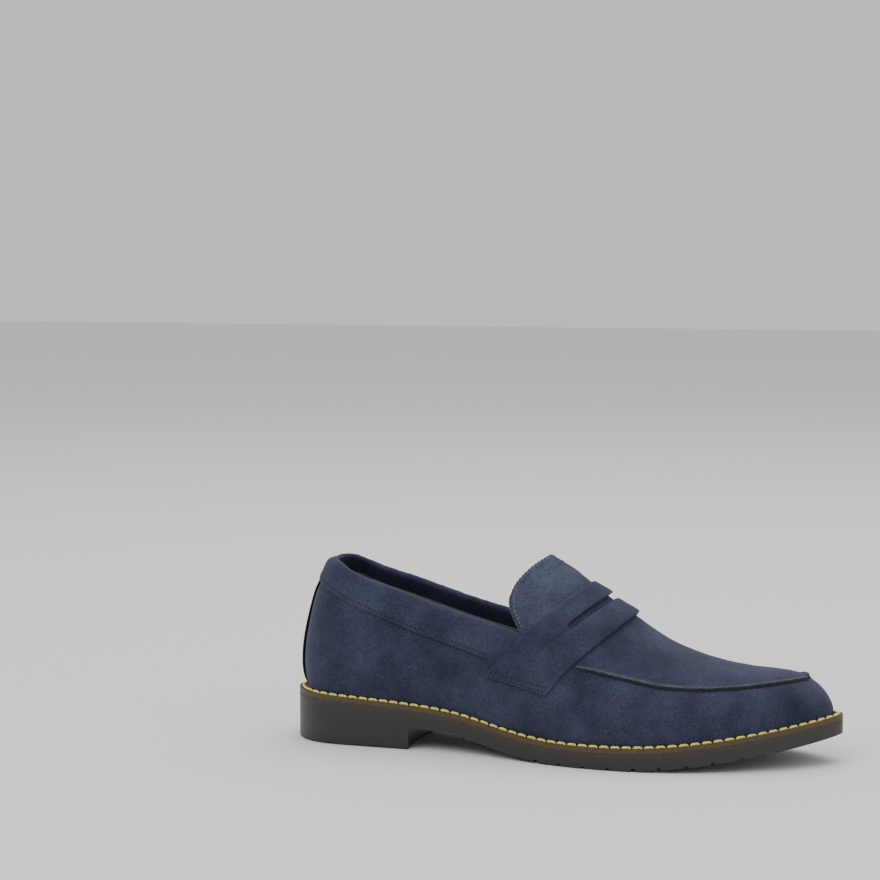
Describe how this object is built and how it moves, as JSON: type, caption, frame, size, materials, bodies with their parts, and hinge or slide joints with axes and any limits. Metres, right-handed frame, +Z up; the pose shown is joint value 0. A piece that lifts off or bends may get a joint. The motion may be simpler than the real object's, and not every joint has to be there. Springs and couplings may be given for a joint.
{
  "type": "penny loafer",
  "caption": "Right-foot slip-on loafer with a moccasin apron, slotted saddle strap, liftable tongue, stitched welt and low block heel.",
  "frame": {"origin": "on the ground, under the middle of the sole's length and width", "axes": "+X from heel to toe, +Y to the inner (medial) side of this right shoe, +Z up"},
  "size_m": [0.3021, 0.1032, 0.1056],
  "materials": {
    "suede": "matte",
    "sole_rubber": "satin",
    "midsole_leather": "satin",
    "welt_leather": "satin",
    "welt_thread": "matte",
    "lining_leather": "matte",
    "collar_foam": "matte",
    "stiffener": "matte",
    "interlining": "matte",
    "insole_board": "matte",
    "insock_foam": "matte",
    "cork": "matte",
    "shank_steel": "satin",
    "nail_steel": "satin"
  },
  "bodies": {
    "root": {"outsole": "sole_rubber", "heel_top_piece": "sole_rubber", "midsole": "midsole_leather", "welt": "welt_leather", "welt_stitches": "welt_thread", "heel_nails": "nail_steel", "shank": "shank_steel", "bottom_filler": "cork", "insole_board": "insole_board", "insock_foam": "insock_foam", "insock_cover": "lining_leather", "vamp_wall": "suede", "apron": "suede", "saddle_strap": "suede", "collar_band": "suede", "back_stay": "suede", "collar_padding": "collar_foam", "heel_counter": "stiffener", "toe_puff": "stiffener", "interlining": "interlining", "quarter_lining": "lining_leather", "vamp_lining": "lining_leather"},
    "tongue": {"tongue": "suede", "tongue_lining": "lining_leather"}
  },
  "joints": [
    {"name": "tongue_lift", "type": "hinge", "parent": "root", "child": "tongue", "pos_m": [0.014, 0.0075, 0.0905], "axis": [0, 1, 0], "range_deg": [0, 26], "stiffness_Nm_per_rad": 0.05}
  ]
}
